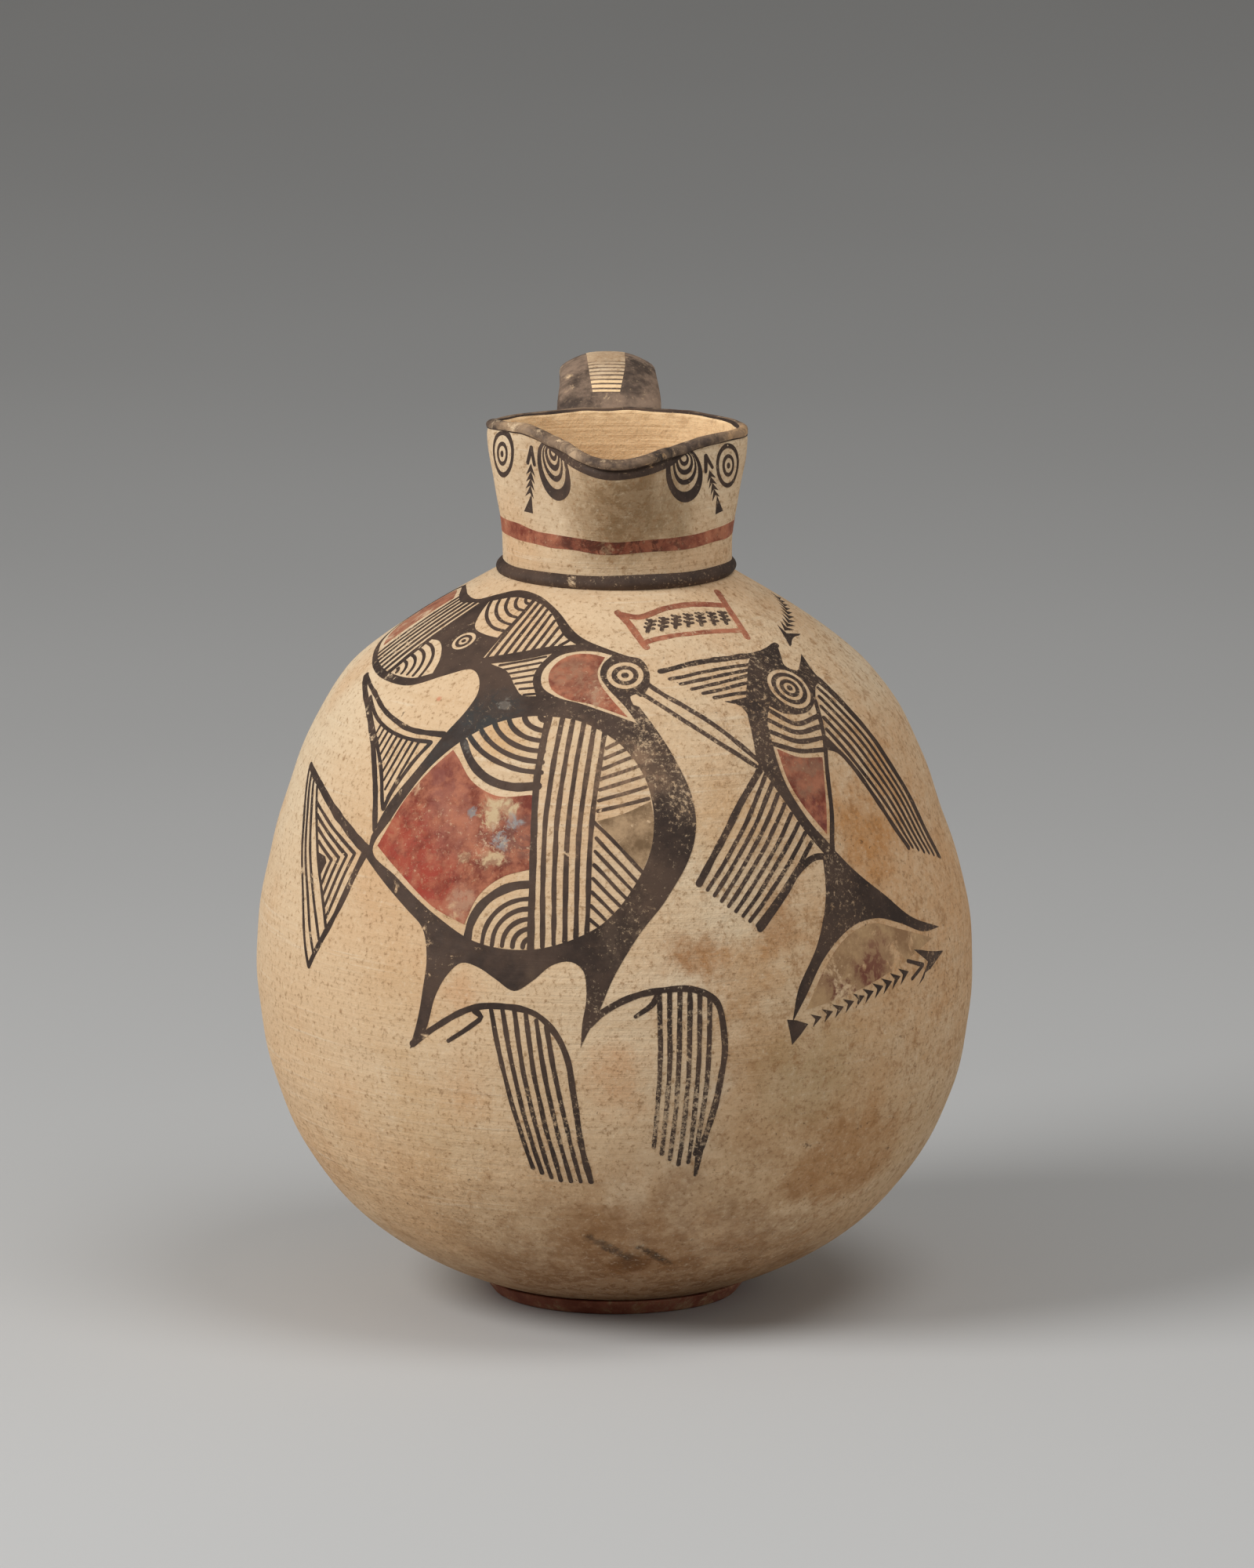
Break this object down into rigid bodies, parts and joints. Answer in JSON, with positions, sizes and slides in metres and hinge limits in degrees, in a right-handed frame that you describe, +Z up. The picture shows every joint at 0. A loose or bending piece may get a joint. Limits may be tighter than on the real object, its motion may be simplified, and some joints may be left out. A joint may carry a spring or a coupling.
{
  "type": "jug",
  "caption": "Pottery jug with a round body, ring foot, short neck with a pinched trefoil mouth and a strap handle, for pouring liquids.",
  "frame": {"origin": "on the jug's axis in the plane it stands on, at the middle of the ring foot", "axes": "+Z up along the axis, -Y towards the spout, +Y towards the handle, +X to the right seen from the spout"},
  "size_m": [0.228, 0.228, 0.296],
  "materials": {
    "clay": "unglazed buff earthenware, smoothed, with fine pits and stains",
    "dark_slip": "matt dark brown painted slip, worn",
    "red_slip": "matt red painted slip, worn"
  },
  "bodies": {
    "root": {"body": "clay", "foot_ring": "red_slip", "neck_ring": "dark_slip", "neck": "clay", "handle": "dark_slip"}
  },
  "joints": []
}
